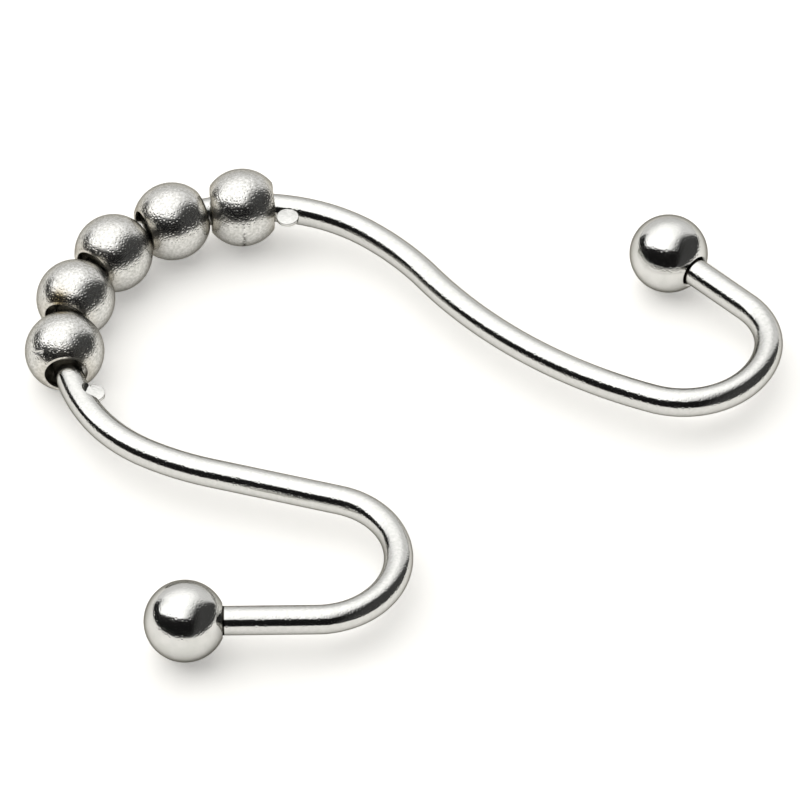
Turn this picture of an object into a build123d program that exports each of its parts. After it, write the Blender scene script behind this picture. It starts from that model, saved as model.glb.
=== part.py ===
from build123d import *
import os
from collections import namedtuple
from math import asin, atan2, cos, degrees, hypot, radians, sin, sqrt

# Double shower curtain hook: one bent wire with five rolling balls on its arch,
# a stop beside each end of the row, and a ball on the tip of each hook.
# It lies flat on its balls. X runs from the short hook to the long hook,
# Y from the hooks up to the arch, and Z up from the table.
# The origin is on the table, under the middle of the whole hook.
# Sizes are in millimetres and degrees.

# Wire and balls
wire_diameter = 3.4
ball_diameter = 9.5

# Arch over the rod, and how far it goes on each side of its crown
arch_radius = 22.5
long_arch_angle = 87.7
short_arch_angle = 73.8

# Long leg, from the arch down to its tip
long_shoulder_radius = 36.5
long_shoulder_angle = 15.9
long_flank_radius = 57.4
long_flank_angle = 33.7
long_bight_radius = 10.5
long_bight_angle = 98.0
long_curl_radius = 8.2
long_curl_angle = 57.4
long_tip_length = 12.8

# Short leg, from the arch down to its tip
short_shoulder_radius = 19.0
short_shoulder_angle = 27.5
short_ease_radius = 35.7
short_ease_angle = 13.2
short_flank_length = 15.7
short_bight_radius = 9.45
short_bight_angle = 163.2
short_tip_length = 15.1

# Rollers: hollow pressed balls that run loose on the arch
roller_count = 5
roller_wall = 0.6
roller_bore_clearance = 0.8
roller_lip_radius = 0.15
roller_gap = 0.1

# Stops: round ears pinched out of the wire on the inner side of the arch.
# The long leg's stands high, at the wire's shoulder, and the short leg's lower and closer in.
stop_radius = 1.35
stop_thickness = 0.5
long_stop_offset = 2.42
long_stop_top = 1.2
long_stop_gap = 0.84
short_stop_offset = 1.69
short_stop_top = 0.45
short_stop_gap = 3.09

# Tip balls: solid, with a blind bore that the end of the wire is pressed into
tip_bore_depth = 6.0
tip_bore_clearance = 0.02
tip_floor_gap = 0.1
tip_mouth_chamfer = 0.3
wire_end_chamfer = 0.3

wire_radius = wire_diameter / 2
ball_radius = ball_diameter / 2
roller_bore_radius = wire_radius + roller_bore_clearance
tip_bore_radius = wire_radius + tip_bore_clearance
wire_past_ball_centre = tip_bore_depth - tip_floor_gap - ball_radius

# A leg is a chain of tangent arcs and straight runs. A positive turn bends round the rod.
Arc = namedtuple("Arc", "radius turn")
Run = namedtuple("Run", "length")

long_leg = (
    Arc(arch_radius, long_arch_angle),
    Arc(long_shoulder_radius, long_shoulder_angle),
    Arc(long_flank_radius, -long_flank_angle),
    Arc(long_bight_radius, -long_bight_angle),
    Arc(long_curl_radius, -long_curl_angle),
    Run(long_tip_length),
)
short_leg = (
    Arc(arch_radius, short_arch_angle),
    Arc(short_shoulder_radius, short_shoulder_angle),
    Arc(short_ease_radius, short_ease_angle),
    Run(short_flank_length),
    Arc(short_bight_radius, -short_bight_angle),
    Run(short_tip_length),
)

# The long leg leaves the crown towards +X and turns clockwise, the short leg is the other way.
LONG_SIDE = 1
SHORT_SIDE = -1


def draw_leg(crown, side, leg):
    """Draws a leg's centreline from the crown, and gives its tip and its last direction."""
    point = crown
    heading = Vector(side, 0, 0)
    for step in leg:
        if isinstance(step, Arc):
            line = JernArc(point, heading, step.radius, -side * step.turn)
        else:
            line = Line(point, point + heading * step.length)
        point = line @ 1
        heading = line % 1
    return point, heading


# A first drawing round the middle of the arch gives the hook's outer size,
# which puts the middle of the arch at its place beside the origin.
with BuildLine() as trial:
    trial_crown = Vector(0, arch_radius, 0)
    long_end, _ = draw_leg(trial_crown, LONG_SIDE, long_leg)
    short_end, _ = draw_leg(trial_crown, SHORT_SIDE, short_leg)
wire_box = trial.line.bounding_box()
left = min(wire_box.min.X - wire_radius, short_end.X - ball_radius)
right = max(wire_box.max.X + wire_radius, long_end.X + ball_radius)
bottom = min(wire_box.min.Y - wire_radius, long_end.Y - ball_radius)
top = arch_radius + ball_radius
arch_centre = Vector(-(left + right) / 2, -(bottom + top) / 2, ball_radius)
arch_crown = arch_centre + Vector(0, arch_radius, 0)


def on_arch(angle, inset=0):
    """Gives a point of the arch at an angle from the crown, positive towards the long leg."""
    radius = arch_radius - inset
    return arch_centre + Vector(radius * sin(radians(angle)), radius * cos(radians(angle)), 0)


def along_arch(angle):
    """Gives the arch's direction at that angle, towards the long leg."""
    return Vector(cos(radians(angle)), -sin(radians(angle)), 0)


# The rollers lie so close that only roller_gap is left between the inner sides
# of their mouths, which is where two neighbours on an arch come nearest.
lip_centre_radius = roller_bore_radius + roller_lip_radius
lip_centre_reach = sqrt((ball_radius - roller_lip_radius) ** 2 - lip_centre_radius**2)
roller_half_length = lip_centre_reach + roller_lip_radius
lip_to_arch_centre = arch_radius - lip_centre_radius
half_pitch = degrees(
    atan2(lip_centre_reach, lip_to_arch_centre)
    + asin((roller_lip_radius + roller_gap / 2) / hypot(lip_centre_reach, lip_to_arch_centre))
)
roller_pitch = 2 * half_pitch
row_half_angle = (roller_count - 1) / 2 * roller_pitch
roller_angles = [row_half_angle - number * roller_pitch for number in range(roller_count)]

# Each stop stands clear of the mouth of the roller beside it.
arc_length_per_degree = radians(arch_radius)
row_end = row_half_angle + (roller_half_length + stop_radius) / arc_length_per_degree
long_stop_angle = row_end + long_stop_gap / arc_length_per_degree
short_stop_angle = -(row_end + short_stop_gap / arc_length_per_degree)

ON_TOP = (Align.CENTER, Align.CENTER, Align.MIN)
UNDERNEATH = (Align.CENTER, Align.CENTER, Align.MAX)

os.makedirs("parts", exist_ok=True)

# Bent wire, swept as two legs that meet at the crown
tips = {}
with BuildPart() as bent_wire:
    for side, leg in ((LONG_SIDE, long_leg), (SHORT_SIDE, short_leg)):
        with BuildLine() as centreline:
            tip, heading = draw_leg(arch_crown, side, leg)
            Line(tip, tip + heading * wire_past_ball_centre)
        with BuildSketch(Plane(origin=arch_crown, z_dir=(side, 0, 0))):
            Circle(wire_radius)
        sweep(path=centreline.wire())
        tips[side] = (tip, heading)
    cut_ends = bent_wire.faces().filter_by(GeomType.PLANE)
    chamfer(cut_ends.edges(), wire_end_chamfer)

    # A stop is pinched between two round tools, which leave a thin ear between them.
    for angle, offset, height in (
        (long_stop_angle, long_stop_offset, long_stop_top),
        (short_stop_angle, short_stop_offset, short_stop_top),
    ):
        ear_top = on_arch(angle, offset) + Vector(0, 0, height)
        ear_bottom = ear_top - Vector(0, 0, stop_thickness)
        with Locations(ear_bottom):
            Cylinder(stop_radius, stop_thickness, align=ON_TOP)
            Cylinder(stop_radius, wire_diameter, align=UNDERNEATH, mode=Mode.SUBTRACT)
        with Locations(ear_top):
            Cylinder(stop_radius, wire_diameter, align=ON_TOP, mode=Mode.SUBTRACT)
bent_wire.part.label = "bent_wire"
export_step(bent_wire.part, "parts/bent_wire.step")

# Rollers: a pressed shell turned about its own bore, with each mouth rounded over
for number, angle in enumerate(roller_angles, start=1):
    centre = on_arch(angle)
    with BuildPart() as roller:
        with BuildSketch(Plane(origin=centre, x_dir=along_arch(angle), z_dir=(0, 0, 1))) as wall:
            Circle(ball_radius)
            Circle(ball_radius - roller_wall, mode=Mode.SUBTRACT)
            with Locations((0, roller_bore_radius)):
                Rectangle(
                    ball_diameter,
                    ball_diameter,
                    align=(Align.CENTER, Align.MAX),
                    mode=Mode.SUBTRACT,
                )
            mouth_corners = wall.vertices().sort_by_distance((0, 0, 0))[-2:]
            fillet(mouth_corners, roller_lip_radius)
        revolve(axis=Axis(centre, along_arch(angle)))
    roller.part.label = f"roller_{number}"
    export_step(roller.part, f"parts/roller_{number}.step")

# Tip balls, turned about the bore that the wire comes in by
for name, side in (("long_hook_ball", LONG_SIDE), ("short_hook_ball", SHORT_SIDE)):
    centre, heading = tips[side]
    with BuildPart() as tip_ball:
        with BuildSketch(Plane(origin=centre, x_dir=-heading, z_dir=(0, 0, 1))) as half:
            Circle(ball_radius)
            with Locations((ball_radius, 0)):
                Rectangle(
                    tip_bore_depth,
                    2 * tip_bore_radius,
                    align=(Align.MAX, Align.CENTER),
                    mode=Mode.SUBTRACT,
                )
            Rectangle(
                ball_diameter,
                ball_radius,
                align=(Align.CENTER, Align.MAX),
                mode=Mode.SUBTRACT,
            )
            mouth_corner = half.vertices().sort_by_distance((ball_radius, tip_bore_radius))[0]
            chamfer(mouth_corner, tip_mouth_chamfer)
        revolve(axis=Axis(centre, heading))
    tip_ball.part.label = name
    export_step(tip_ball.part, f"parts/{name}.step")
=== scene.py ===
"""Looks of a double shower curtain hook in satin nickel plate.

One bent wire carries five rolling balls on its arch, a pinched stop beside each end
of the row, and a ball pressed onto the tip of each hook. The hook lies flat on its
balls on white paper. Lengths are in millimetres until a mesh is made, which is in
metres. X runs from the short hook to the long hook and Y from the hooks to the arch.
"""

import logging
import math
from abc import ABC, abstractmethod
from dataclasses import dataclass, field
from enum import Enum
from typing import Any

import bmesh
import bpy
import numpy as np
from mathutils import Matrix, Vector


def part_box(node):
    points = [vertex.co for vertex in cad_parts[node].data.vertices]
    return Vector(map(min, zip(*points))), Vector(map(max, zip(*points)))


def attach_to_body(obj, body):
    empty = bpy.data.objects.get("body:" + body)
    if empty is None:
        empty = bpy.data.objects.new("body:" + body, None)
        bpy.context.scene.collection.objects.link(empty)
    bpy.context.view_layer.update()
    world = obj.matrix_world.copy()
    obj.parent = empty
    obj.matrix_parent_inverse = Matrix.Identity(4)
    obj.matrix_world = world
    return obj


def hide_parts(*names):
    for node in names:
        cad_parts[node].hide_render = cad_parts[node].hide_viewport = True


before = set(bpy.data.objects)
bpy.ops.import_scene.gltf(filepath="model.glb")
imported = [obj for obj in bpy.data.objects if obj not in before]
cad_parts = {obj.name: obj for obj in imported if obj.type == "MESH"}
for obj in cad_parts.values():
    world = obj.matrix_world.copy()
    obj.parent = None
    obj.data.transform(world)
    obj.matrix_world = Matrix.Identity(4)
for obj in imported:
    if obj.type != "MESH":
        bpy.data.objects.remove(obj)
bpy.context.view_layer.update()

log = logging.getLogger("curtain_hook")

# A millimetre in metres, and the longest edge that counts as a sliver.
MM = 0.001
SLIVER_MM = 0.002
UP = np.array([0.0, 0.0, 1.0])
WHITE = (1.0, 1.0, 1.0, 1.0)
# What the materials read at each point of a mesh.
# The tarnish attribute holds real tarnish and a stain on the rollers, and painted shade at the
# joints of the wire and the tip balls.
TARNISH_AND_SHADE = "tarnish"
SEAM = "seam"


class Side(Enum):
    """The two legs of the hook, with the sign of X that each leaves the crown by."""

    LONG = 1
    SHORT = -1


class Body(Enum):
    """The moving bodies that pieces ride on. Each roller has one of its own."""

    HOOK = "hook"
    ROLLER = "{node}_body"


class Slot(Enum):
    """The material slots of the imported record."""

    WIRE = "satin_wire"
    ROLLER = "satin_roller"
    TIP_BALL = "satin_tip_ball"


class Carving(Enum):
    """What a tool does to the piece that it is put to."""

    CUT = "DIFFERENCE"
    JOIN = "UNION"


class Rows(Enum):
    """How the rows of a grid of points close: in a loop, or with a point at each end."""

    LOOP = "loop"
    POLES = "poles"


def linear(colour: str) -> tuple[float, float, float, float]:
    """Turns an sRGB hex colour into linear light by the standard's curve.

    Args:
        colour: Six hex digits after a hash.

    Returns:
        Linear red, green and blue, with an alpha of 1.
    """
    parts = np.array([int(colour[start : start + 2], 16) for start in (1, 3, 5)]) / 255
    light = np.where(parts <= 0.04045, parts / 12.92, ((parts + 0.055) / 1.055) ** 2.4)
    return (*light.tolist(), 1.0)


def add_node(
    tree: bpy.types.NodeTree,
    kind: str,
    settings: dict[str, Any] | None = None,
    inputs: dict[int | str, Any] | None = None,
) -> bpy.types.Node:
    """Adds a node to a tree, with its settings and with what goes into its sockets.

    Args:
        tree: The node tree of a material or a world.
        kind: The node's type name.
        settings: The node's own properties, by name.
        inputs: Values or other nodes' output sockets, by input name or number.

    Returns:
        The new node.
    """
    node = tree.nodes.new(kind)
    for name, value in (settings or {}).items():
        setattr(node, name, value)
    for name, value in (inputs or {}).items():
        if isinstance(value, bpy.types.NodeSocket):
            tree.links.new(value, node.inputs[name])
        else:
            node.inputs[name].default_value = value
    return node


def skin(name: str, grid: np.ndarray, rows: Rows) -> bpy.types.Object:
    """Makes a closed mesh object from a grid of points.

    Each row is a closed ring. Neighbouring points of two neighbouring rows make a
    four-sided face. With poles, the first and the last row are one point each, and
    triangles join them to the rings beside them. The faces are turned outwards if
    the volume that they enclose comes out negative.

    Args:
        name: The object's name.
        grid: Points in millimetres, as rows by columns by 3.
        rows: How the rows close.

    Returns:
        The new object, at the origin and smooth shaded.
    """
    count, columns = grid.shape[:2]
    skipped = columns - 1 if rows is Rows.POLES else 0
    points = grid.reshape(-1, 3)[skipped : count * columns - skipped]
    index = np.arange(count * columns).reshape(count, columns) - skipped
    ahead = np.roll(index, -1, axis=1)
    if rows is Rows.LOOP:
        begin, end = np.arange(count), (np.arange(count) + 1) % count
        triangles = np.empty((0, 3), int)
    else:
        begin, end = np.arange(1, count - 2), np.arange(2, count - 1)
        first = np.stack([np.full(columns, index[0, -1]), ahead[1], index[1]], axis=-1)
        last = np.stack([np.full(columns, index[-1, 0]), index[-2], ahead[-2]], axis=-1)
        triangles = np.concatenate([first, last])
    quads = np.stack([index[begin], ahead[begin], ahead[end], index[end]], axis=-1).reshape(-1, 4)
    corners = points[np.concatenate([quads[:, [0, 1, 2]], quads[:, [0, 2, 3]], triangles])]
    if np.einsum("ij,ij->", corners[:, 0], np.cross(corners[:, 1], corners[:, 2])) < 0:
        quads, triangles = quads[:, ::-1], triangles[:, ::-1]
    mesh = bpy.data.meshes.new(name)
    mesh.from_pydata((points * MM).tolist(), [], quads.tolist() + triangles.tolist())
    mesh.shade_smooth()
    piece = bpy.data.objects.new(name, mesh)
    bpy.context.scene.collection.objects.link(piece)
    return piece


def turned(
    name: str,
    profile: np.ndarray,
    centre: np.ndarray,
    axis: np.ndarray,
    across: np.ndarray,
    columns: int,
    rows: Rows,
) -> bpy.types.Object:
    """Turns a profile about an axis.

    A profile point at distance a along the axis and r from it becomes a ring of
    radius r: centre plus a times the axis plus r times the cosine and the sine of an
    even angle on two directions square to the axis.

    Args:
        name: The piece's name.
        profile: Rows of a and r, in millimetres.
        centre: The point that a is counted from.
        axis: The axis's unit direction.
        across: A unit direction square to the axis.
        columns: How many points make a ring.
        rows: How the profile closes.

    Returns:
        The turned piece.
    """
    turn = np.arange(columns) / columns * 2 * math.pi
    spokes = np.cos(turn)[:, None] * across + np.sin(turn)[:, None] * np.cross(axis, across)
    grid = centre + profile[:, 0, None, None] * axis + profile[:, 1, None, None] * spokes
    return skin(name, grid, rows)


def arc_points(
    middle: tuple[float, float], radius: float, start: float, end: float, count: int
) -> np.ndarray:
    """Gives points of a profile: middle plus radius times cosine and sine of even angles."""
    angle = np.linspace(start, end, count)
    return np.array(middle) + radius * np.column_stack([np.cos(angle), np.sin(angle)])


def carve(piece: bpy.types.Object, tool: bpy.types.Object, carving: Carving) -> None:
    """Cuts a closed shape out of a piece, or joins it on, and deletes the shape.

    Edges up to SLIVER_MM long, which a cut through nearly the same place as the one
    before leaves, are taken away.

    Args:
        piece: The piece, whose mesh becomes the result.
        tool: The closed shape.
        carving: Whether the shape is cut out or joined on.
    """
    change = piece.modifiers.new("carving", "BOOLEAN")
    change.object = tool
    change.operation = carving.value
    change.solver = "EXACT"
    shaped = piece.evaluated_get(bpy.context.evaluated_depsgraph_get())
    blank, tool_mesh = piece.data, tool.data
    carved = bpy.data.meshes.new_from_object(shaped)
    piece.modifiers.remove(change)
    piece.data = carved
    bpy.data.objects.remove(tool)
    bpy.data.meshes.remove(tool_mesh)
    bpy.data.meshes.remove(blank)
    carved.name = piece.name
    shape = bmesh.new()
    shape.from_mesh(carved)
    bmesh.ops.dissolve_degenerate(shape, dist=SLIVER_MM * MM, edges=shape.edges)
    shape.to_mesh(carved)
    shape.free()


def attach(piece: bpy.types.Object, name: str, values: np.ndarray) -> None:
    """Keeps one number for each point of a mesh, for its material to read."""
    attribute = piece.data.attributes.new(name, "FLOAT", "POINT")
    attribute.data.foreach_set("value", values.astype(np.float32))


def points_of(piece: bpy.types.Object) -> np.ndarray:
    """Reads the points of a piece's mesh.

    Args:
        piece: The piece.

    Returns:
        Rows of x, y and z in millimetres.
    """
    points = np.empty(len(piece.data.vertices) * 3)
    piece.data.vertices.foreach_get("co", points)
    return points.reshape(-1, 3) / MM


@dataclass(frozen=True)
class Bend:
    """An arc of the wire. A positive turn, in degrees, goes round the rod."""

    radius: float
    turn: float

    @property
    def length(self) -> float:
        """The arc's length: radius times turn."""
        return self.radius * math.radians(abs(self.turn))

    @property
    def curvature(self) -> float:
        """One over the radius, with the sign of the turn."""
        return math.copysign(1 / self.radius, self.turn)


@dataclass(frozen=True)
class Straight:
    """A straight run of the wire."""

    length: float
    curvature: float = 0.0


@dataclass(frozen=True)
class Leg:
    """Half of the wire, from the crown of the arch to the middle of its tip ball."""

    side: Side
    steps: tuple[Bend | Straight, ...]

    @property
    def length(self) -> float:
        """The length of all its bends and straights."""
        return sum(step.length for step in self.steps)

    def trace(self, distance: np.ndarray) -> tuple[np.ndarray, np.ndarray]:
        """Follows the leg's centreline from the crown, which is at zero.

        The heading turns by curvature times distance. On a bend the point moves by
        the change of the heading's sine and cosine over the curvature, and on a
        straight by the distance. Past its end the last straight goes on.

        Args:
            distance: Distances from the crown along the leg.

        Returns:
            The points as rows of x and y, and the headings in radians.
        """
        start, bearing = np.zeros(2), 0.0 if self.side is Side.LONG else math.pi
        begins, places, bearings, bends = [], [], [], []
        reached = 0.0
        for step in self.steps:
            curvature = -self.side.value * step.curvature
            begins.append(reached)
            places.append(start)
            bearings.append(bearing)
            bends.append(curvature)
            step_move = (np.array([value]) for value in (step.length, bearing, curvature))
            start = start + self._move(*step_move)[0]
            bearing += curvature * step.length
            reached += step.length
        step_at = np.searchsorted(begins, distance, side="right") - 1
        along = distance - np.array(begins)[step_at]
        curvatures = np.array(bends)[step_at]
        headings = np.array(bearings)[step_at]
        points = np.array(places)[step_at] + self._move(along, headings, curvatures)
        return points, headings + curvatures * along

    @staticmethod
    def _move(along: np.ndarray, heading: np.ndarray, curvature: np.ndarray) -> np.ndarray:
        """Gives how far points move in x and y, by the formula in trace.

        Args:
            along: Distances from the start of each point's step.
            heading: The headings there, in radians.
            curvature: The steps' curvatures.

        Returns:
            The moves as rows of x and y.
        """
        bent = np.abs(curvature) > 0
        divisor = np.where(bent, curvature, 1)
        later = heading + curvature * along
        bent_x = (np.sin(later) - np.sin(heading)) / divisor
        bent_y = (np.cos(heading) - np.cos(later)) / divisor
        move_x = np.where(bent, bent_x, along * np.cos(heading))
        move_y = np.where(bent, bent_y, along * np.sin(heading))
        return np.stack([move_x, move_y], axis=-1)


@dataclass(frozen=True)
class HookLine:
    """The centreline of the whole hook and the places of the balls and stops on it."""

    wire_radius: float = 1.7
    ball_radius: float = 4.75
    arch_radius: float = 22.5
    long_steps: tuple[Bend | Straight, ...] = (
        Bend(22.5, 87.7),
        Bend(36.5, 15.9),
        Bend(57.4, -33.7),
        Bend(10.5, -98.0),
        Bend(8.2, -57.4),
        Straight(12.8),
    )
    short_steps: tuple[Bend | Straight, ...] = (
        Bend(22.5, 73.8),
        Bend(19.0, 27.5),
        Bend(35.7, 13.2),
        Straight(15.7),
        Bend(9.45, -163.2),
        Straight(15.1),
    )
    survey_points: int = 20001
    crown: tuple[float, float] = field(init=False)

    def __post_init__(self) -> None:
        """Puts the middle of the hook's box over the origin, which places the crown."""
        ends, lows, highs = [], [], []
        for leg in self.legs:
            points, _ = leg.trace(np.linspace(0, leg.length, self.survey_points))
            lows += [points.min(axis=0) - self.wire_radius, points[-1] - self.ball_radius]
            highs += [points.max(axis=0) + self.wire_radius, points[-1] + self.ball_radius]
            ends.append(points[-1])
        highs.append(np.array([0.0, self.ball_radius]))
        middle = (np.min(lows, axis=0) + np.max(highs, axis=0)) / 2
        object.__setattr__(self, "crown", tuple((-middle).tolist()))

    @property
    def legs(self) -> tuple[Leg, Leg]:
        """The long leg and the short leg."""
        return Leg(Side.LONG, self.long_steps), Leg(Side.SHORT, self.short_steps)

    def trace(self, station: np.ndarray) -> tuple[np.ndarray, np.ndarray]:
        """Follows the wire from the short tip to the long tip, with zero at the crown.

        The short leg is traced from the crown too, and its headings are turned back,
        so that they all point towards the long tip.

        Args:
            station: Distances from the crown, negative on the short leg.

        Returns:
            The points as rows of x, y and z, and the unit headings.
        """
        long_leg, short_leg = self.legs
        long_points, long_headings = long_leg.trace(np.maximum(station, 0))
        short_points, short_headings = short_leg.trace(np.maximum(-station, 0))
        on_long = station >= 0
        flat = np.where(on_long[:, None], long_points, short_points) + np.array(self.crown)
        bearing = np.where(on_long, long_headings, short_headings + math.pi)
        points = np.column_stack([flat, np.full(len(station), self.ball_radius)])
        headings = np.column_stack([np.cos(bearing), np.sin(bearing), np.zeros(len(station))])
        return points, headings

    def on_arch(self, angle: float) -> float:
        """Gives the distance along the arch for an angle from the crown, in degrees."""
        return self.arch_radius * math.radians(angle)


@dataclass(frozen=True)
class Nick:
    """A short nick in the plate, between two points of the hook at rest."""

    start_mm: tuple[float, float, float]
    end_mm: tuple[float, float, float]
    width_mm: float
    depth_mm: float


@dataclass(frozen=True)
class SatinNickel:
    """Nickel plate over steel with a tumbled, satin face.

    Nickel gives a slightly warm, pale grey mirror that is darker towards the rim.
    Tumbling leaves it full of shallow round pits: where something bright and something
    dark meet in the reflection, the edge breaks up into speckles, and plain areas look
    mottled. A pit takes up a share of its cell of the grain. Heights are added up in
    millimetres and bend the surface together. The pits are drawn about twice as coarse
    as real tumbling leaves them, so that they show.
    """

    name: str
    colour: str
    dull_colour: str
    roughness: float
    roughness_swing: float
    grain_mm: float
    grain_depth_mm: float
    mottle_mm: float
    mottle_depth_mm: float
    grain_pit_share: float = 0.55
    mottle_octaves: float = 4.0
    mottle_range: tuple[float, float] = (0.35, 0.65)
    edge_colour: str = "#807E78"
    # Real tarnish on the rollers; painted shade in the joints of the wire and the tip balls.
    tarnish_colour: str = "#A08B58"
    seam_colour: str = "#2E2B26"
    seam_dot_mm: float = 0.35
    seam_dot_octaves: float = 0.0
    seam_dot_range: tuple[float, float] = (0.4, 0.55)
    seam_depth_mm: float = 0.1
    nicks: tuple[Nick, ...] = ()

    def material(self) -> bpy.types.Material:
        """Builds the node material.

        Returns:
            The material, which reads Object coordinates and the pieces' attributes
            for where the plate is tarnished, where painted shade darkens a joint and where a
            seam runs.
        """
        made = bpy.data.materials.new(self.name)
        made.use_nodes = True
        tree = made.node_tree
        tree.nodes.clear()
        place = add_node(tree, "ShaderNodeTexCoord").outputs["Object"]
        mottle = self._noise(tree, place, self.mottle_mm, self.mottle_octaves)
        seam = self._seam(tree, place)
        low, high = self.mottle_range
        roughness = add_node(
            tree,
            "ShaderNodeMapRange",
            inputs={
                "Value": mottle,
                "From Min": low,
                "From Max": high,
                "To Min": self.roughness - self.roughness_swing,
                "To Max": self.roughness + self.roughness_swing,
            },
        )
        shader = add_node(
            tree,
            "ShaderNodeBsdfPrincipled",
            inputs={
                "Base Color": self._colour(tree, mottle, seam),
                "Metallic": 1.0,
                "Specular Tint": linear(self.edge_colour),
                "Roughness": roughness.outputs["Result"],
                "Normal": self._relief(tree, place, mottle, seam),
            },
        )
        add_node(tree, "ShaderNodeOutputMaterial", inputs={"Surface": shader.outputs["BSDF"]})
        return made

    @staticmethod
    def _noise(
        tree: bpy.types.NodeTree, place: bpy.types.NodeSocket, size_mm: float, octaves: float
    ) -> bpy.types.NodeSocket:
        """Lays noise over the surface, with its coarsest lumps of a size in millimetres."""
        inputs = {"Vector": place, "Scale": 1 / (size_mm * MM), "Detail": octaves}
        return add_node(tree, "ShaderNodeTexNoise", inputs=inputs).outputs["Fac"]

    def _seam(self, tree: bpy.types.NodeTree, place: bpy.types.NodeSocket) -> bpy.types.NodeSocket:
        """Breaks the line where a pressed ball was closed into a row of pits.

        Args:
            tree: The material's tree.
            place: The Object coordinates.

        Returns:
            How deep in a pit the surface is, from 0 to 1.
        """
        line = add_node(tree, "ShaderNodeAttribute", {"attribute_name": SEAM})
        dots = self._noise(tree, place, self.seam_dot_mm, self.seam_dot_octaves)
        low, high = self.seam_dot_range
        pits = add_node(
            tree, "ShaderNodeMapRange", inputs={"Value": dots, "From Min": low, "From Max": high}
        )
        inputs = {0: line.outputs["Fac"], 1: pits.outputs["Result"]}
        return add_node(tree, "ShaderNodeMath", {"operation": "MULTIPLY"}, inputs).outputs[0]

    def _colour(
        self, tree: bpy.types.NodeTree, mottle: bpy.types.NodeSocket, seam: bpy.types.NodeSocket
    ) -> bpy.types.NodeSocket:
        """Mixes the plate's clean and dull colours, its tarnish on the rollers and its painted
        shade at the tip balls' joints, and the seam's pits.

        Args:
            tree: The material's tree.
            mottle: The mottled noise.
            seam: How deep in a seam's pit the surface is.

        Returns:
            The colour's socket.
        """
        # Real tarnish on the rollers, painted shade at the joints of the wire and the tip balls.
        tarnish = add_node(tree, "ShaderNodeAttribute", {"attribute_name": TARNISH_AND_SHADE})
        low, high = self.mottle_range
        dullness = add_node(
            tree, "ShaderNodeMapRange", inputs={"Value": mottle, "From Min": low, "From Max": high}
        )
        colour: bpy.types.NodeSocket | tuple[float, float, float, float] = linear(self.colour)
        for share, over in (
            (dullness.outputs["Result"], self.dull_colour),
            (tarnish.outputs["Fac"], self.tarnish_colour),
            (seam, self.seam_colour),
        ):
            inputs = {"Factor": share, "A": colour, "B": linear(over)}
            layer = add_node(tree, "ShaderNodeMix", {"data_type": "RGBA"}, inputs)
            colour = layer.outputs["Result"]
        return colour

    def _relief(
        self,
        tree: bpy.types.NodeTree,
        place: bpy.types.NodeSocket,
        mottle: bpy.types.NodeSocket,
        seam: bpy.types.NodeSocket,
    ) -> bpy.types.NodeSocket:
        """Adds up the heights of the grain, the mottle, the seam and the nicks.

        Args:
            tree: The material's tree.
            place: The Object coordinates.
            mottle: The mottled noise.
            seam: How deep in a seam's pit the surface is.

        Returns:
            The bent normal's socket.
        """
        cells = add_node(
            tree,
            "ShaderNodeTexVoronoi",
            inputs={"Vector": place, "Scale": 1 / (self.grain_mm * MM)},
        )
        grain = add_node(
            tree,
            "ShaderNodeMapRange",
            {"interpolation_type": "SMOOTHSTEP"},
            {"Value": cells.outputs["Distance"], "From Min": 0.0, "From Max": self.grain_pit_share},
        )
        heights = [
            (grain.outputs["Result"], self.grain_depth_mm),
            (mottle, self.mottle_depth_mm),
            (seam, -self.seam_depth_mm),
        ]
        heights += [(self._nick(tree, place, nick), -nick.depth_mm) for nick in self.nicks]
        height: bpy.types.NodeSocket | float = 0.0
        for share, most in heights:
            inputs = {0: share, 1: most, 2: height}
            total = add_node(tree, "ShaderNodeMath", {"operation": "MULTIPLY_ADD"}, inputs)
            height = total.outputs[0]
        bump = add_node(tree, "ShaderNodeBump", inputs={"Distance": MM, "Height": height})
        return bump.outputs["Normal"]

    @staticmethod
    def _nick(
        tree: bpy.types.NodeTree, place: bpy.types.NodeSocket, nick: Nick
    ) -> bpy.types.NodeSocket:
        """Tells how deep in a nick the surface is.

        The nearest point of the nick's line is its start plus its run times the share
        of the way, which is the offset from the start dotted with the run over the
        run's length squared, kept between 0 and 1.

        Args:
            tree: The material's tree.
            place: The Object coordinates.
            nick: The nick.

        Returns:
            1 on the nick's line, falling smoothly to 0 at its edge.
        """
        start = Vector(nick.start_mm) * MM
        run = Vector(nick.end_mm) * MM - start
        offset = add_node(
            tree, "ShaderNodeVectorMath", {"operation": "SUBTRACT"}, {0: place, 1: start}
        )
        reached = add_node(
            tree,
            "ShaderNodeVectorMath",
            {"operation": "DOT_PRODUCT"},
            {0: offset.outputs["Vector"], 1: run / run.length_squared},
        )
        share = add_node(tree, "ShaderNodeClamp", inputs={"Value": reached.outputs["Value"]})
        nearest = add_node(
            tree,
            "ShaderNodeVectorMath",
            {"operation": "SCALE"},
            {0: run, "Scale": share.outputs["Result"]},
        )
        distance = add_node(
            tree,
            "ShaderNodeVectorMath",
            {"operation": "DISTANCE"},
            {0: offset.outputs["Vector"], 1: nearest.outputs["Vector"]},
        )
        depth = add_node(
            tree,
            "ShaderNodeMapRange",
            {"interpolation_type": "SMOOTHSTEP"},
            {
                "Value": distance.outputs["Value"],
                "From Min": 0.0,
                "From Max": nick.width_mm / 2 * MM,
                "To Min": 1.0,
                "To Max": 0.0,
            },
        )
        return depth.outputs["Result"]


# Painted shade: a near-black colour laid where the wire goes into a tip ball, on the wire beside
# the ball and in the ball's bore.
JOINT_SHADE_COLOUR = "#24211C"

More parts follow.
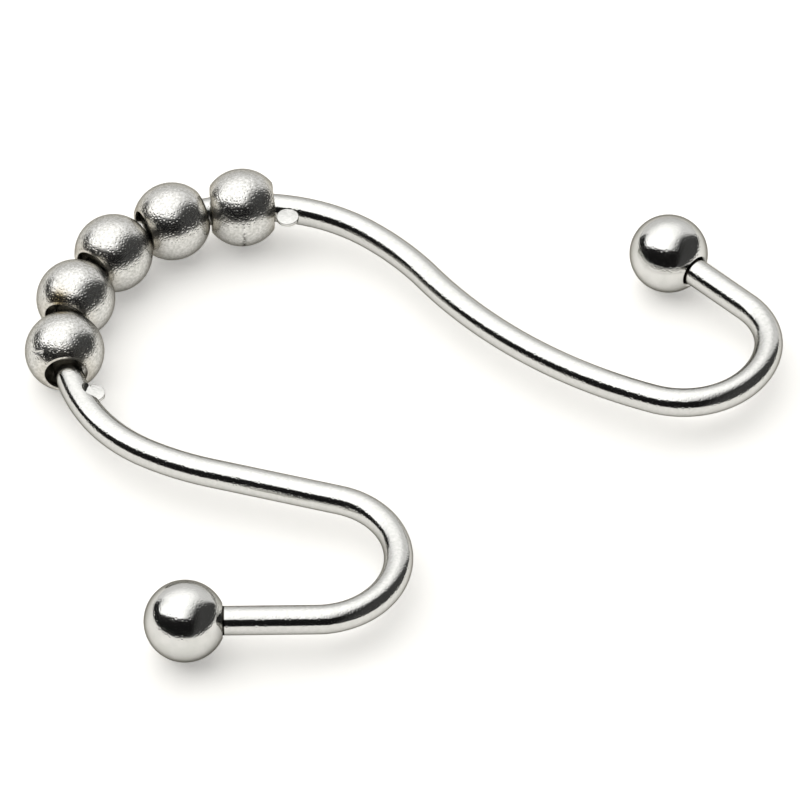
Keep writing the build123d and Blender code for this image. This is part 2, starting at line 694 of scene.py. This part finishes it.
# Drawn wire is smooth under its plate, so clean bands of light run along it.
WIRE_FINISH = SatinNickel(
    name="satin_nickel_plate_on_drawn_wire",
    colour="#C9C8C5",
    dull_colour="#C2C2BE",
    roughness=0.14,
    roughness_swing=0.01,
    grain_mm=0.32,
    grain_depth_mm=0.01,
    mottle_mm=0.5,
    mottle_depth_mm=0.001,
    # Painted shade: the dark joint colour where the wire goes into a tip ball.
    tarnish_colour=JOINT_SHADE_COLOUR,
)

# Pressing roughens a ball's face, so its plate is grainy and its bands of light are soft.
ROLLER_FINISH = SatinNickel(
    name="satin_nickel_plate_on_pressed_balls",
    colour="#D3D2CF",
    dull_colour="#B9B8B3",
    roughness=0.22,
    roughness_swing=0.03,
    grain_mm=0.32,
    grain_depth_mm=0.022,
    mottle_mm=0.35,
    mottle_depth_mm=0.004,
    edge_colour="#989690",
    nicks=(
        Nick(
            start_mm=(-22.43, 28.58, 7.05),
            end_mm=(-22.16, 27.73, 7.60),
            width_mm=0.5,
            depth_mm=0.12,
        ),
    ),
)

# A solid ball is ground before it is plated, so it is the clearest mirror of the three.
TIP_BALL_FINISH = SatinNickel(
    name="satin_nickel_plate_on_solid_balls",
    colour="#CECDCA",
    dull_colour="#C4C4C0",
    roughness=0.13,
    roughness_swing=0.02,
    grain_mm=0.32,
    grain_depth_mm=0.009,
    mottle_mm=2.0,
    mottle_depth_mm=0.003,
    # Painted shade: the dark joint colour in each tip ball's bore and chamfer.
    tarnish_colour=JOINT_SHADE_COLOUR,
)


def piece_name(node: str) -> str:
    """Names the piece that stands for a CAD node."""
    return f"satin_{node}"


@dataclass
class SubAssembly(ABC):
    """Pieces of the hook that are built together and share one finish.

    Where there are several, the node is a pattern that each piece fills in.
    """

    line: HookLine
    node: str
    body: Body
    slot: Slot
    finish: SatinNickel

    @abstractmethod
    def build(self) -> dict[str, bpy.types.Object]:
        """Builds the pieces, by the names of the CAD nodes that they stand for."""

    def dress(self, pieces: dict[str, bpy.types.Object]) -> None:
        """Gives the pieces their finish and puts each in the place of its CAD node.

        Args:
            pieces: The pieces, by the names of their nodes.
        """
        material = self.finish.material()
        for node, piece in pieces.items():
            piece.data.materials.append(material)
            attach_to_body(piece, self.body.value.format(node=node))
            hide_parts(node)


@dataclass(frozen=True)
class Stop:
    """A pinched stop: its angle from the crown, how far inwards it is, and its top's height."""

    angle: float
    offset: float
    top: float


@dataclass
class BentWire(SubAssembly):
    """The bent wire with its two pinched stops.

    A dark ring of painted shade lies where the wire goes into each tip ball.
    """

    node: str = "bent_wire"
    body: Body = Body.HOOK
    slot: Slot = Slot.WIRE
    finish: SatinNickel = WIRE_FINISH
    past_ball_centre: float = 1.15
    end_chamfer: float = 0.3
    ring_spacing: float = 0.4
    columns: int = 80
    stops: tuple[Stop, Stop] = (
        Stop(angle=60.706, offset=2.42, top=1.2),
        Stop(angle=-66.435, offset=1.69, top=0.45),
    )
    stop_radius: float = 1.35
    stop_thickness: float = 0.5
    stop_rim: float = 0.08
    stop_columns: int = 72
    rim_points: int = 5
    tool_reach: float = 2.5
    joint_reach: float = 4.84
    joint_fade: float = 0.06
    crease: float = math.radians(35)

    def build(self) -> dict[str, bpy.types.Object]:
        """Builds the wire as rings along the hook's centreline, and pinches its stops.

        A ring's point is the centreline's point plus the radius times the cosine of an
        even angle sideways and its sine upwards. Each end narrows by its chamfer. The
        joints with the tip balls have rings of their own, where the ring of painted shade
        begins and ends.

        Returns:
            The wire's object, by its node.
        """
        long_leg, short_leg = self.line.legs
        first = -short_leg.length - self.past_ball_centre
        last = long_leg.length + self.past_ball_centre
        count = math.ceil((last - first) / self.ring_spacing)
        reach = np.array([self.joint_reach - self.joint_fade, self.joint_reach])
        joint = np.sqrt(reach**2 - self.line.wire_radius**2)
        run = np.linspace(first + self.end_chamfer, last - self.end_chamfer, count)
        run = np.sort(np.concatenate([run, joint - short_leg.length, long_leg.length - joint]))
        # Each end has its middle point and the ring inside its chamfer besides the run.
        radius = np.full(len(run) + 4, self.line.wire_radius)
        radius[[1, -2]] -= self.end_chamfer
        radius[[0, -1]] = 0
        points, headings = self.line.trace(np.concatenate([[first, first], run, [last, last]]))
        turn = np.arange(self.columns) / self.columns * 2 * math.pi
        sideways = np.cos(turn)[:, None] * np.cross(UP, headings)[:, None]
        spokes = sideways + np.sin(turn)[:, None] * UP
        grid = points[:, None] + radius[:, None, None] * spokes
        wire = skin(piece_name(self.node), grid, Rows.POLES)
        for stop in self.stops:
            self._pinch(wire, stop)
        # Painted shade: a dark ring on the wire where it goes into each tip ball.
        attach(wire, TARNISH_AND_SHADE, self._joints(wire))
        wire.data.set_sharp_from_angle(angle=self.crease)
        return {self.node: wire}

    def _joints(self, wire: bpy.types.Object) -> np.ndarray:
        """Tells how far the wire's points are in the painted shade at a tip ball's joint.

        Args:
            wire: The wire.

        Returns:
            1 for points within the joint's reach of a tip ball's middle, falling to 0
            over its fade.
        """
        long_leg, short_leg = self.line.legs
        middles, _ = self.line.trace(np.array([-short_leg.length, long_leg.length]))
        away = np.linalg.norm(points_of(wire)[:, None] - middles, axis=2).min(axis=1)
        return np.clip((self.joint_reach - away) / self.joint_fade, 0, 1)

    def _pinch(self, wire: bpy.types.Object, stop: Stop) -> None:
        """Presses a round tool into the wire from each side, and leaves an ear between.

        The tools and the ear are discs with the stop's radius, and the ear's rim is
        rounded.

        Args:
            wire: The wire.
            stop: The stop's place.
        """
        (place,), (heading,) = self.line.trace(np.array([self.line.on_arch(stop.angle)]))
        middle = place + stop.offset * np.cross(heading, UP)
        bottom, side = stop.top - self.stop_thickness, self.stop_radius
        for low, high in ((-self.tool_reach, bottom), (stop.top, self.tool_reach)):
            tool = np.array([[low, 0], [low, side], [high, side], [high, 0]])
            carve(wire, self._disc(middle, tool), Carving.CUT)
        rim, outwards = self.stop_rim, math.pi / 2
        lower_middle, upper_middle = (bottom + rim, side - rim), (stop.top - rim, side - rim)
        lower = arc_points(lower_middle, rim, math.pi, outwards, self.rim_points)
        upper = arc_points(upper_middle, rim, outwards, 0, self.rim_points)
        ear = np.concatenate([[[bottom, 0]], lower, upper, [[stop.top, 0]]])
        carve(wire, self._disc(middle, ear), Carving.JOIN)

    def _disc(self, middle: np.ndarray, profile: np.ndarray) -> bpy.types.Object:
        """Turns a profile about the upright line through the middle of a stop."""
        across = np.array([1.0, 0.0, 0.0])
        return turned("disc", profile, middle, UP, across, self.stop_columns, Rows.POLES)


@dataclass
class RollerRow(SubAssembly):
    """Five hollow pressed balls that roll on the arch.

    Their plate is a little yellow towards each mouth, and one ball has a brown stain
    over a mouth. One ball's closing seam shows as a row of pits.
    """

    node: str = "roller_{number}"
    body: Body = Body.ROLLER
    slot: Slot = Slot.ROLLER
    finish: SatinNickel = ROLLER_FINISH
    count: int = 5
    wall: float = 0.6
    bore_radius: float = 2.5
    lip_radius: float = 0.15
    gap: float = 0.1
    land_width: float = 0.2
    land_tilt: float = math.radians(14)
    land_round: float = 0.06
    mouth_round: float = 0.14
    columns: int = 160
    outer_rows: int = 81
    lip_rows: int = 9
    inner_rows: int = 25
    crease: float = math.radians(50)
    mouth_tarnish: float = 0.15
    mouth_fade: float = 1.2
    stained_roller: int = 4
    stain_tarnish: float = 0.8
    stain_place: tuple[float, float, float] = (-14.7, 32.0, 7.8)
    stain_reach: float = 1.2
    seamed_roller: int = 1
    seam_reach: float = 0.3
    seam_rise: float = 0.5

    @property
    def lip_reach(self) -> float:
        """How far the middle of a lip's round stands from the ball's middle, along the bore."""
        lip_height = self.bore_radius + self.lip_radius
        return math.sqrt((self.line.ball_radius - self.lip_radius) ** 2 - lip_height**2)

    @property
    def pitch(self) -> float:
        """The angle from one ball to the next round the arch, in degrees.

        Two neighbours come nearest between the inner sides of their lips, where only
        the gap is left. Seen from the arch's middle, half the pitch is the angle up to
        the middle of the lip's round and the angle that the lip and half the gap take.
        """
        inner_side = self.line.arch_radius - self.bore_radius - self.lip_radius
        half = math.atan2(self.lip_reach, inner_side) + math.asin(
            (self.lip_radius + self.gap / 2) / math.hypot(self.lip_reach, inner_side)
        )
        return math.degrees(2 * half)

    def profile(self) -> np.ndarray:
        """Draws a roller's wall from its right mouth over the top and back inside.

        A mouth is a narrow land, tilted from square to the bore, between a small round
        from the ball and a larger one into the bore. The small round's middle is where
        its height leaves room for the land's and the larger round's.

        Returns:
            Rows of distance along the bore and distance from it.
        """
        ball_radius, tilt = self.line.ball_radius, self.land_tilt
        normal = np.array([-math.cos(tilt), math.sin(tilt)])
        land = self.land_width * np.array([-math.sin(tilt), -math.cos(tilt)])
        land_round, mouth_round = self.land_round * normal, self.mouth_round * normal
        mouth_height = self.bore_radius + self.mouth_round
        edge_height = mouth_height + mouth_round[1] - land[1] - land_round[1]
        start = math.asin(edge_height / (ball_radius - self.land_round))
        inwards = 1.5 * math.pi
        edge_middle = np.array([-edge_height / math.tan(start), edge_height])
        mouth_middle = edge_middle + land_round + land - mouth_round
        inner_radius = ball_radius - self.wall
        inner_start = math.asin(self.bore_radius / inner_radius)
        outside = arc_points((0, 0), ball_radius, start, math.pi - start, self.outer_rows)
        edge_turn = (math.pi - start, math.pi - tilt)
        mouth_turn = (math.pi - tilt, inwards)
        inside_turn = (math.pi - inner_start, inner_start)
        edge = arc_points(tuple(edge_middle), self.land_round, *edge_turn, self.lip_rows)
        mouth = arc_points(tuple(mouth_middle), self.mouth_round, *mouth_turn, self.lip_rows)
        inside = arc_points((0, 0), inner_radius, *inside_turn, self.inner_rows)
        left_lip = np.concatenate([edge[1:], mouth])
        right_lip = left_lip[::-1] * np.array([-1, 1])
        return np.concatenate([outside, left_lip, inside, right_lip])

    def build(self) -> dict[str, bpy.types.Object]:
        """Builds the rollers, numbered from the long leg to the short leg.

        A seam is a band round the middle of a ball, which fades out towards its top.

        Returns:
            The rollers' objects, by their nodes.
        """
        profile = self.profile()
        mouth = self._mouth(profile)
        across_seam = np.clip(1 - np.abs(profile[:, 0]) / self.seam_reach, 0, 1)
        turn = np.arange(self.columns) / self.columns * 2 * math.pi
        seam = np.outer(across_seam, np.clip(self.seam_rise - np.cos(turn), 0, 1)).ravel()
        rollers = {}
        for number in range(1, self.count + 1):
            node = self.node.format(number=number)
            angle = ((self.count + 1) / 2 - number) * self.pitch
            (centre,), (heading,) = self.line.trace(np.array([self.line.on_arch(angle)]))
            name = piece_name(node)
            roller = turned(name, profile, centre, heading, UP, self.columns, Rows.LOOP)
            stain = self.mouth_tarnish * np.repeat(mouth, self.columns)
            if number == self.stained_roller:
                stain = np.maximum(stain, self._stain(roller))
            attach(roller, TARNISH_AND_SHADE, stain)
            attach(roller, SEAM, seam * (number == self.seamed_roller))
            roller.data.set_sharp_from_angle(angle=self.crease)
            rollers[node] = roller
        return rollers

    def _mouth(self, profile: np.ndarray) -> np.ndarray:
        """Tells how near a profile's points are to a mouth.

        Args:
            profile: Rows of distance along the bore and distance from it.

        Returns:
            1 in a mouth and inside the ball, falling to 0 outside over the mouth's fade.
        """
        outside = np.hypot(profile[:, 0], profile[:, 1]) > self.line.ball_radius - self.wall / 2
        away = self.lip_reach - np.abs(profile[:, 0])
        return np.where(outside, np.clip(1 - away / self.mouth_fade, 0, 1), 1)

    def _stain(self, roller: bpy.types.Object) -> np.ndarray:
        """Spreads the stain over a roller: its tarnish times e to minus distance squared."""
        offsets = points_of(roller) - np.array(self.stain_place)
        return self.stain_tarnish * np.exp(-((offsets / self.stain_reach) ** 2).sum(axis=1))


@dataclass
class TipBalls(SubAssembly):
    """The two solid balls pressed onto the ends of the legs."""

    node: str = "{side}_hook_ball"
    body: Body = Body.HOOK
    slot: Slot = Slot.TIP_BALL
    finish: SatinNickel = TIP_BALL_FINISH
    bore_radius: float = 1.72
    bore_depth: float = 6.0
    mouth_chamfer: float = 0.36
    columns: int = 160
    outer_rows: int = 97
    crease: float = math.radians(30)

    def profile(self) -> np.ndarray:
        """Draws half the ball from its far pole to its bore's mouth and down the bore.

        Returns:
            Rows of distance towards the mouth and distance from the bore's line.
        """
        ball_radius = self.line.ball_radius
        mouth = math.asin(self.bore_radius / ball_radius)
        mouth_reach = ball_radius * math.cos(mouth)
        chamfer_turn = self.mouth_chamfer / ball_radius
        outside = arc_points((0, 0), ball_radius, math.pi, mouth + chamfer_turn, self.outer_rows)
        floor = ball_radius - self.bore_depth
        bore = np.array(
            [
                [mouth_reach - self.mouth_chamfer, self.bore_radius],
                [floor, self.bore_radius],
                [floor, 0],
            ]
        )
        # The far pole, which the sine of pi puts a hair off the axis.
        outside[0, 1] = 0
        return np.concatenate([outside, bore])

    def build(self) -> dict[str, bpy.types.Object]:
        """Builds each ball round the end of its leg.

        Returns:
            The balls' objects, by their nodes.
        """
        profile = self.profile()
        # Painted shade: the bore's rows, and the chamfer that leads into them, take the dark joint
        # colour.
        joint = np.arange(len(profile)) >= self.outer_rows
        # A pole is one point, so a whole ring's values are all but one too many there.
        spare = self.columns - 1
        balls = {}
        for leg in self.line.legs:
            node = self.node.format(side=leg.side.name.lower())
            sign = leg.side.value
            (centre,), (heading,) = self.line.trace(np.array([sign * leg.length]))
            name, to_mouth = piece_name(node), -sign * heading
            ball = turned(name, profile, centre, to_mouth, UP, self.columns, Rows.POLES)
            attach(ball, TARNISH_AND_SHADE, np.repeat(joint, self.columns)[spare:-spare])
            ball.data.set_sharp_from_angle(angle=self.crease)
            balls[node] = ball
        return balls


@dataclass(frozen=True)
class Edge:
    """A straight, soft edge of a patch of the room.

    A direction is placed by how far right and how far away it goes, each over its
    height. Their sum, weighed by right and away, is starts where the patch begins to
    show and full where it is as bright as it gets.
    """

    right: float
    away: float
    starts: float
    full: float


@dataclass(frozen=True)
class Patch:
    """A patch of the room that gives light, within its edges."""

    light: float
    edges: tuple[Edge, ...]


@dataclass(frozen=True)
class Studio:
    """White paper under one large softbox, in a room that is dark on the camera's side.

    The camera looks down at its target by the elevation in degrees, and away is the
    level direction that it looks in.
    """

    away: tuple[float, float, float] = (0.7612, 0.6485, 0.0)
    target_mm: tuple[float, float, float] = (1.384, -7.915, 4.75)
    elevation: float = 46.5
    distance_mm: float = 715.5
    lens_mm: float = 272.35
    paper_half_mm: float = 3000.0
    paper_colour: str = "#F8F6F1"
    paper_seen_glow: float = 0.28
    paper_mirrored_glow: float = 0.37
    dark_light: float = 0.01
    lowest_height: float = 0.001
    right_wall: Patch = Patch(
        light=0.07,
        edges=(Edge(right=1.0, away=0.3, starts=0.1, full=1.1),),
    )
    far_wall: Patch = Patch(
        light=0.98,
        edges=(
            Edge(right=-0.8, away=1.0, starts=-0.55, full=0.05),
            Edge(right=0.81, away=1.0, starts=-0.25, full=0.15),
        ),
    )
    softbox: Patch = Patch(
        light=2.0,
        edges=(
            Edge(right=0.0, away=1.0, starts=-0.73, full=-0.65),
            Edge(right=0.395, away=1.0, starts=-0.89, full=-0.8),
            Edge(right=1.0, away=0.0, starts=-2.6, full=-2.1),
            Edge(right=-1.0, away=0.25, starts=-0.75, full=0.1),
            Edge(right=0.0, away=-1.0, starts=-2.3, full=0.0),
        ),
    )

    @property
    def right(self) -> np.ndarray:
        """The level direction to the camera's right."""
        away_x, away_y, _ = self.away
        return np.array([away_y, -away_x, 0.0])

    def build(self) -> None:
        """Sets the camera, the paper and the light of the room."""
        self._camera()
        self._paper()
        self._room()
        bpy.context.scene.view_settings.view_transform = "Standard"

    def _camera(self) -> None:
        """Stands the camera at the photograph's angle."""
        rise = math.radians(self.elevation)
        back = math.sin(rise) * UP - math.cos(rise) * np.array(self.away)
        data = bpy.data.cameras.new("camera")
        data.lens = self.lens_mm
        camera = bpy.data.objects.new("camera", data)
        camera.location = (np.array(self.target_mm) + back * self.distance_mm) * MM
        camera.rotation_euler = Vector(-back).to_track_quat("-Z", "Y").to_euler()
        bpy.context.scene.collection.objects.link(camera)
        bpy.context.scene.camera = camera

    def _paper(self) -> None:
        """Lays the white paper, a level square that takes the hook's soft shadow.

        Its glow is only for rays from the camera and, weaker, from the metal. It makes
        the plain paper white and leaves the shadow under the hook.
        """
        half = self.paper_half_mm * MM
        corners = [(-half, -half, 0), (half, -half, 0), (half, half, 0), (-half, half, 0)]
        mesh = bpy.data.meshes.new("paper")
        mesh.from_pydata(corners, [], [(0, 1, 2, 3)])
        paper = bpy.data.objects.new("paper", mesh)
        bpy.context.scene.collection.objects.link(paper)
        # Matt paper scatters light evenly and mirrors nothing.
        made = bpy.data.materials.new("matt_white_paper")
        made.use_nodes = True
        tree = made.node_tree
        tree.nodes.clear()
        rays = add_node(tree, "ShaderNodeLightPath").outputs
        mirrored = add_node(
            tree,
            "ShaderNodeMath",
            {"operation": "MULTIPLY"},
            {0: rays["Is Glossy Ray"], 1: self.paper_mirrored_glow},
        )
        glow = add_node(
            tree,
            "ShaderNodeMath",
            {"operation": "MULTIPLY_ADD"},
            {0: rays["Is Camera Ray"], 1: self.paper_seen_glow, 2: mirrored.outputs[0]},
        )
        shader = add_node(
            tree,
            "ShaderNodeBsdfPrincipled",
            inputs={
                "Base Color": linear(self.paper_colour),
                "Roughness": 1.0,
                "Specular IOR Level": 0.0,
                "Emission Color": WHITE,
                "Emission Strength": glow.outputs[0],
            },
        )
        add_node(tree, "ShaderNodeOutputMaterial", inputs={"Surface": shader.outputs["BSDF"]})
        mesh.materials.append(made)

    def _room(self) -> None:
        """Paints the room: the dark camera side, the grey far wall and the softbox.

        Each patch lies over those before it. A direction near the horizon or below it
        counts as the lowest height, which keeps its place a number. The camera itself
        sees white all round.
        """
        world = bpy.data.worlds.new("studio")
        bpy.context.scene.world = world
        world.use_nodes = True
        tree = world.node_tree
        tree.nodes.clear()
        ray = add_node(tree, "ShaderNodeTexCoord").outputs["Generated"]
        rise = add_node(tree, "ShaderNodeSeparateXYZ", inputs={0: ray}).outputs["Z"]
        inputs = {0: rise, 1: self.lowest_height}
        height = add_node(tree, "ShaderNodeMath", {"operation": "MAXIMUM"}, inputs).outputs[0]
        inputs = {0: 1.0, 1: height}
        spread = add_node(tree, "ShaderNodeMath", {"operation": "DIVIDE"}, inputs).outputs[0]
        inputs = {0: ray, "Scale": spread}
        ceiling = add_node(tree, "ShaderNodeVectorMath", {"operation": "SCALE"}, inputs)
        light: bpy.types.NodeSocket | float = self.dark_light
        for patch in (self.right_wall, self.far_wall, self.softbox):
            cover = self._cover(tree, ceiling.outputs["Vector"], patch)
            inputs = {"Factor": cover, "A": light, "B": patch.light}
            mix = add_node(tree, "ShaderNodeMix", {"data_type": "FLOAT"}, inputs)
            light = mix.outputs["Result"]
        seen = add_node(tree, "ShaderNodeLightPath").outputs["Is Camera Ray"]
        inputs = {"Factor": seen, "A": light, "B": 1.0}
        strength = add_node(tree, "ShaderNodeMix", {"data_type": "FLOAT"}, inputs)
        inputs = {"Color": WHITE, "Strength": strength.outputs["Result"]}
        background = add_node(tree, "ShaderNodeBackground", inputs=inputs).outputs["Background"]
        add_node(tree, "ShaderNodeOutputWorld", inputs={"Surface": background})

    def _cover(
        self, tree: bpy.types.NodeTree, ceiling: bpy.types.NodeSocket, patch: Patch
    ) -> bpy.types.NodeSocket | float:
        """Adds how far a patch hides what is behind it, the product of its edges' steps.

        Args:
            tree: The room's nodes.
            ceiling: The direction over its height.
            patch: The patch.

        Returns:
            The cover, 1 where the patch is whole and 0 beyond its edges.
        """
        cover: bpy.types.NodeSocket | float = 1.0
        for edge in patch.edges:
            across = edge.right * self.right + edge.away * np.array(self.away)
            inputs = {0: ceiling, 1: across}
            reached = add_node(
                tree, "ShaderNodeVectorMath", {"operation": "DOT_PRODUCT"}, inputs
            ).outputs["Value"]
            inputs = {"Value": reached, "From Min": edge.starts, "From Max": edge.full}
            step = add_node(
                tree, "ShaderNodeMapRange", {"interpolation_type": "SMOOTHSTEP"}, inputs
            ).outputs["Result"]
            inputs = {0: step, 1: cover}
            cover = add_node(tree, "ShaderNodeMath", {"operation": "MULTIPLY"}, inputs).outputs[0]
        return cover


def report(piece: bpy.types.Object, node: str) -> None:
    """Logs a piece, and how far the ends of its box are from those of its CAD node.

    Args:
        piece: The finished piece.
        node: The CAD node that it stands for.
    """
    made = np.array([corner[:] for corner in piece.bound_box]) / MM
    cad_low, cad_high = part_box(node)
    low_gap = made.min(axis=0) - np.array(cad_low) / MM
    high_gap = made.max(axis=0) - np.array(cad_high) / MM
    log.info(
        "%s stands for %s: %d faces, off its box by %s and %s mm",
        piece.name,
        node,
        len(piece.data.polygons),
        np.round(low_gap, 3).tolist(),
        np.round(high_gap, 3).tolist(),
    )


def main() -> None:
    """Builds the studio and the hook's sub-assemblies in order, and reports each piece."""
    logging.basicConfig(level=logging.INFO, format="%(message)s")
    Studio().build()
    line = HookLine()
    for assembly in (BentWire(line), RollerRow(line), TipBalls(line)):
        pieces = assembly.build()
        assembly.dress(pieces)
        for node, piece in pieces.items():
            report(piece, node)


if __name__ == "__main__":
    main()
